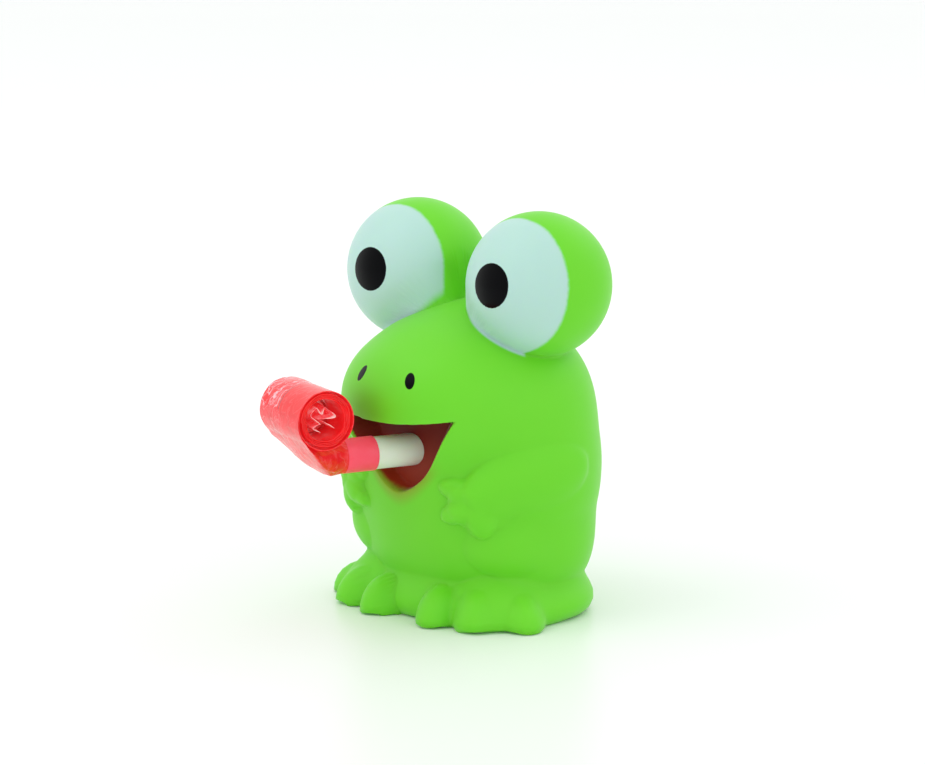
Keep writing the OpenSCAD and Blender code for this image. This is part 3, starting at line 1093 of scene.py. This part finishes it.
# %% [markdown]
# Each film piece goes with one moving body. Only the lead has to follow
# two: it stays on the tube at one end and goes out with the roll at the
# other. Here it is put on no body, and its place is baked into its points.

# %% Film pieces on their bodies
for piece, look, body, node, slot in (
        (neck, red_neck, "blower", "film_neck", "film_red"),
        (wrap, red_turn, "tongue", "film_wrap", "film_red"),
        (coil, red_edge, "roll", "film_coil", "film_red"),
        (crumpled, pale_end, "roll", "film_end_fold", "film_pale")):
    look.put_on(piece)
    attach(piece, body)
    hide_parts(node)

red_panel.put_on(lead)
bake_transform(lead)
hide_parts("film_lead")

# %% [markdown]
# Tube, plug and spring strip are exact solids already, with true edges, so
# they are kept as they are and only get a finish: white extruded plastic,
# white moulded plastic, and a bright steel strip seen through red film.

# %% Finishes of the kept solids


def two_tone(name, grain, first, second, **constants):
    """Soft clouds of two near colours, grain mm across."""
    look = Look(name, **constants)
    look.set("Base Color", look.mix(look.noise(grain), first, second))
    return look


finishes = {
    "blower_tube": two_tone(
        "tube_white", 9.0, tone(226, 232, 214), tone(234, 238, 224),
        Roughness=0.3, Subsurface_Weight=0.25, Subsurface_Scale=0.003),
    "base_plug": two_tone(
        "plug_white", 5.0, tone(228, 228, 220), tone(236, 236, 230),
        Roughness=0.5),
    "curl_spring": two_tone(
        "spring_steel", 1.0, tone(226, 40, 44), tone(240, 90, 92),
        Metallic=0.4, Roughness=0.35),
}
for node, look in finishes.items():
    look.put_on(frame["nodes"][node])
print("kept solids", sorted(finishes))

# %% [markdown]
# The frog stands on a pale floor that fades to white, so that no horizon
# shows. One sheet with a soft gradient does what a curved backdrop does in
# a studio, and stays out of the way when the view goes round the toy.

# %% Floor


def stage_floor():
    """One large square, off-white under the toy and white far from it."""
    reach = 6000.0
    points = np.array([[-reach, -reach, 0], [reach, -reach, 0],
                       [reach, reach, 0], [-reach, reach, 0]])
    floor = make_piece("stage_floor", points, [np.array([[0, 1, 2, 3]])])
    look = Look("stage_white", Roughness=0.35, Specular_IOR_Level=0.35)
    x, y, _ = look.axes()
    far = distance(x, y).step(120.0, 420.0)
    look.set("Base Color", look.mix(far, (0.92, 0.94, 0.92, 1),
                                    (1.0, 1.0, 1.0, 1)))
    look.put_on(floor)


stage_floor()
print("floor ready")

# %% [markdown]
# The light is a white room with three large soft boxes. Small lamps would
# put hard spots on the satin vinyl. The key is above in front, the side
# light lifts the frog's left, and the rim light behind draws its outline.

# %% Light
SOFT_BOXES = (  # name, place and size in metres, power in watts
    ("key", (-0.35, -0.55, 1.0), (0.7, 0.7), 2.2),
    ("side", (1.0, -0.1, 0.55), (0.6, 0.8), 0.8),
    ("rim", (0.1, 0.9, 0.8), (0.9, 0.5), 1.2),
)
LIT_POINT = (0, 0, 0.045)


def soft_box(name, place, size, power):
    """Rectangular area light that faces the middle of the toy."""
    light = bpy.data.lights.new(name, "AREA")
    light.shape = "RECTANGLE"
    light.size, light.size_y = size
    light.energy = power
    lamp = bpy.data.objects.new(name, light)
    lamp.location = place
    way = Vector(LIT_POINT) - Vector(place)
    lamp.rotation_euler = way.to_track_quat("-Z", "Y").to_euler()
    bpy.context.scene.collection.objects.link(lamp)


def world_light():
    """Even light from all sides, a trace greener than white."""
    world = bpy.data.worlds.new("studio")
    world.use_nodes = True
    back = world.node_tree.nodes["Background"]
    back.inputs["Color"].default_value = (0.98, 1.0, 0.99, 1)
    back.inputs["Strength"].default_value = 1.0
    bpy.context.scene.world = world


world_light()
for soft_light in SOFT_BOXES:
    soft_box(*soft_light)
print("lights", [name for name, *_ in SOFT_BOXES])

# %% [markdown]
# The camera looks at the frog from its left front, a little from above,
# with a long lens from far off, so that near and far eye are nearly the
# same size, as in a product picture.

# %% Camera


def set_camera(azimuth, elevation, distance_m, target, lens, shift):
    """Camera at an angle to the front and above level, aimed at target."""
    a, e = math.radians(azimuth), math.radians(elevation)
    way = Vector((math.sin(a) * math.cos(e), -math.cos(a) * math.cos(e),
                  math.sin(e)))
    camera = bpy.data.objects.new("camera", bpy.data.cameras.new("camera"))
    camera.location = Vector(target) + way * distance_m
    camera.rotation_euler = (-way).to_track_quat("-Z", "Y").to_euler()
    camera.data.lens = lens
    camera.data.sensor_width = 36.0
    camera.data.shift_x, camera.data.shift_y = shift
    camera.data.clip_end = 50
    bpy.context.scene.collection.objects.link(camera)
    bpy.context.scene.camera = camera


set_camera(43.0, 10.7, 0.75, (0, 0, 0.0475), 124.6, (-0.0162, 0.0217))
bpy.context.scene.view_settings.view_transform = "Standard"
